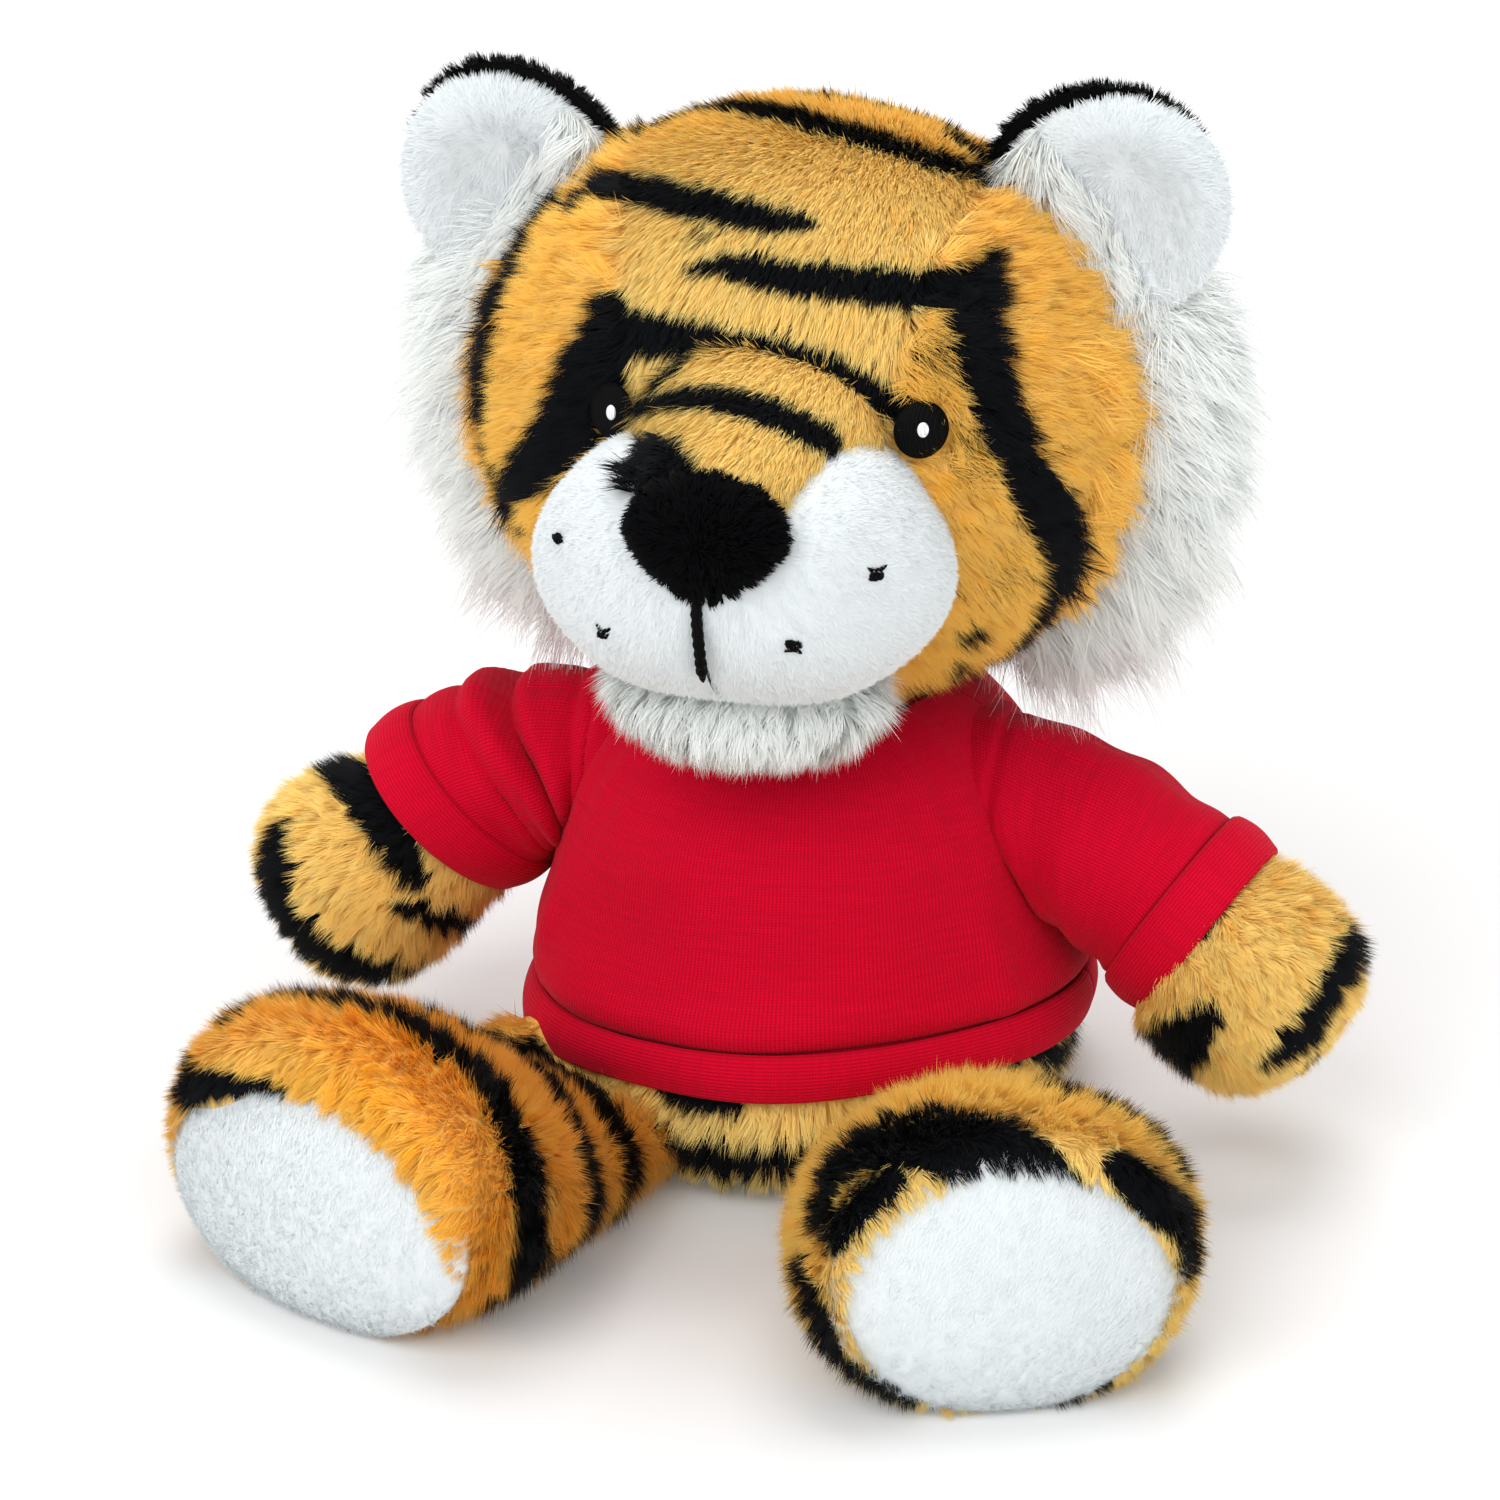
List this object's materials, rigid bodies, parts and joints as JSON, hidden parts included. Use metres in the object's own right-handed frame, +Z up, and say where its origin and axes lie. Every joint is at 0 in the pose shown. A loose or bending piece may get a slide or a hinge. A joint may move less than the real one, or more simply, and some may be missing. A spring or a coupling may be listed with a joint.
{
  "type": "plush tiger",
  "caption": "Sitting stuffed toy tiger with splayed legs, dished ears and side ruffs, in a short-sleeved knitted shirt; head, limbs and tail bend at their sewn roots.",
  "frame": {"origin": "middle of the flat that the body sits on", "axes": "+Z up, the face looks along -Y, the toy's own left side is +X"},
  "size_m": [0.204, 0.2062, 0.189],
  "materials": {
    "tiger_fur": "printed plush, orange pile with black stripes",
    "white_plush": "short brushed pile",
    "long_pile": "long loose pile",
    "black_plush": "short black pile",
    "red_jersey": "single jersey knit",
    "black_thread": "satin-stitch embroidery",
    "white_thread": "satin-stitch embroidery",
    "fibre_fill": "polyester hollow fibre",
    "pellet_cloth": "woven bag of pellets"
  },
  "bodies": {
    "torso": {"body_cover": "tiger_fur", "body_stuffing": "fibre_fill", "pellet_bag": "pellet_cloth", "shirt_front": "red_jersey", "shirt_back": "red_jersey", "shirt_hem_band": "red_jersey", "shirt_neck_band": "red_jersey"},
    "neck": {"neck_stuffing": "fibre_fill"},
    "head": {"head_cover": "tiger_fur", "head_stuffing": "fibre_fill", "muzzle_left": "white_plush", "muzzle_right": "white_plush", "bridge_panel": "tiger_fur", "nose": "black_plush", "chin": "long_pile", "mouth_stitch": "black_thread", "whisker_stitch_left_upper": "black_thread", "whisker_stitch_right_upper": "black_thread", "whisker_stitch_left_lower": "black_thread", "whisker_stitch_right_lower": "black_thread", "eye_left": "black_thread", "eye_right": "black_thread", "eye_glint_left": "white_thread", "eye_glint_right": "white_thread", "ear_left_front": "white_plush", "ear_right_front": "white_plush", "ear_left_back": "black_plush", "ear_right_back": "black_plush", "ruff_left": "long_pile", "ruff_right": "long_pile"},
    "arm_left": {"arm_left_cover": "tiger_fur", "arm_left_stuffing": "fibre_fill", "sleeve_left": "red_jersey", "sleeve_left_cuff": "red_jersey"},
    "arm_right": {"arm_right_cover": "tiger_fur", "arm_right_stuffing": "fibre_fill", "sleeve_right": "red_jersey", "sleeve_right_cuff": "red_jersey"},
    "leg_left": {"leg_left_cover": "tiger_fur", "leg_left_stuffing": "fibre_fill", "sole_left": "white_plush"},
    "leg_right": {"leg_right_cover": "tiger_fur", "leg_right_stuffing": "fibre_fill", "sole_right": "white_plush"},
    "tail": {"tail": "tiger_fur"}
  },
  "joints": [
    {"name": "head_turn", "type": "hinge", "parent": "torso", "child": "neck", "pos_m": [0, 0, 0.079], "axis": [0, 0, 1], "range_deg": [-25, 25], "stiffness_Nm_per_rad": 0.3},
    {"name": "head_nod", "type": "hinge", "parent": "neck", "child": "head", "pos_m": [0, 0, 0.079], "axis": [1, 0, 0], "range_deg": [-8, 10], "stiffness_Nm_per_rad": 0.8},
    {"name": "arm_left_lift", "type": "hinge", "parent": "torso", "child": "arm_left", "pos_m": [0.037, 0, 0.0635], "axis": [0, -1, 0], "range_deg": [-12, 25], "stiffness_Nm_per_rad": 0.15},
    {"name": "arm_right_lift", "type": "hinge", "parent": "torso", "child": "arm_right", "pos_m": [-0.037, 0, 0.0635], "axis": [0, 1, 0], "range_deg": [-12, 25], "stiffness_Nm_per_rad": 0.15},
    {"name": "leg_left_lift", "type": "hinge", "parent": "torso", "child": "leg_left", "pos_m": [0.0255, -0.024, 0.0145], "axis": [-0.9205, -0.3907, 0], "range_deg": [-12, 20], "stiffness_Nm_per_rad": 0.25},
    {"name": "leg_right_lift", "type": "hinge", "parent": "torso", "child": "leg_right", "pos_m": [-0.0255, -0.024, 0.0145], "axis": [-0.9205, 0.3907, 0], "range_deg": [-12, 20], "stiffness_Nm_per_rad": 0.25},
    {"name": "tail_swing", "type": "hinge", "parent": "torso", "child": "tail", "pos_m": [0, 0.046, 0.015], "axis": [0, 0, 1], "range_deg": [-25, 25], "stiffness_Nm_per_rad": 0.05}
  ]
}
